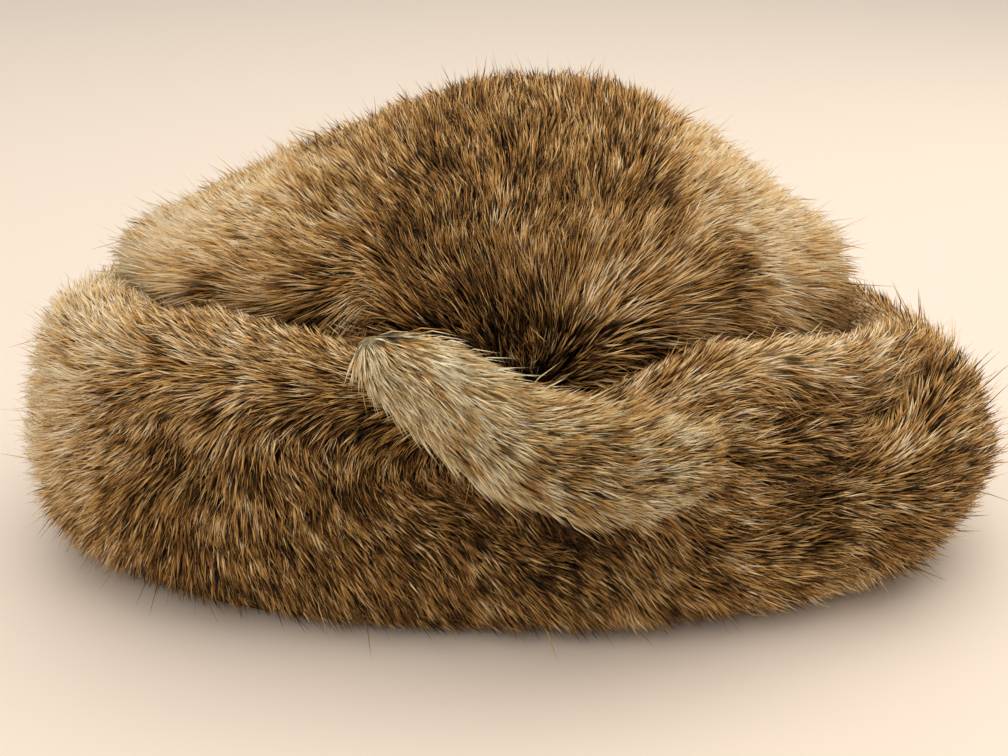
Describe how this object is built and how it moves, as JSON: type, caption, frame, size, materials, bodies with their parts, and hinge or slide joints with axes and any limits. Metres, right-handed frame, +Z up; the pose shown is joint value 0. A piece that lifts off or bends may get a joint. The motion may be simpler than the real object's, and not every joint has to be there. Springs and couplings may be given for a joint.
{
  "type": "turkmen telpek hat",
  "caption": "Soft fur hat that covers the head: a low domed crown of pelt rises inside a deep, thick turned-up cuff, with a pale flap of fur folded over the front.",
  "frame": {"origin": "on the surface the hat rests on, under the middle of its outline as seen from above", "axes": "+Z up through the crown, mouth down; the front, with the folded flap, faces -Y; +X is along the long way of the mouth, to the right of someone who looks at the front"},
  "size_m": [0.3076, 0.2074, 0.1476],
  "materials": {
    "hide": "matt suede, the flesh side of the pelt",
    "dark_fur": "soft fur with dark roots and tan tips",
    "tan_fur": "soft fur, tan to rufous with dark ticking",
    "pale_fur": "soft pale fur with dark ticking"
  },
  "bodies": {
    "root": {"crown_hide": "hide", "crown_fur": "dark_fur", "cuff": "tan_fur", "front_flap": "pale_fur"}
  },
  "joints": []
}
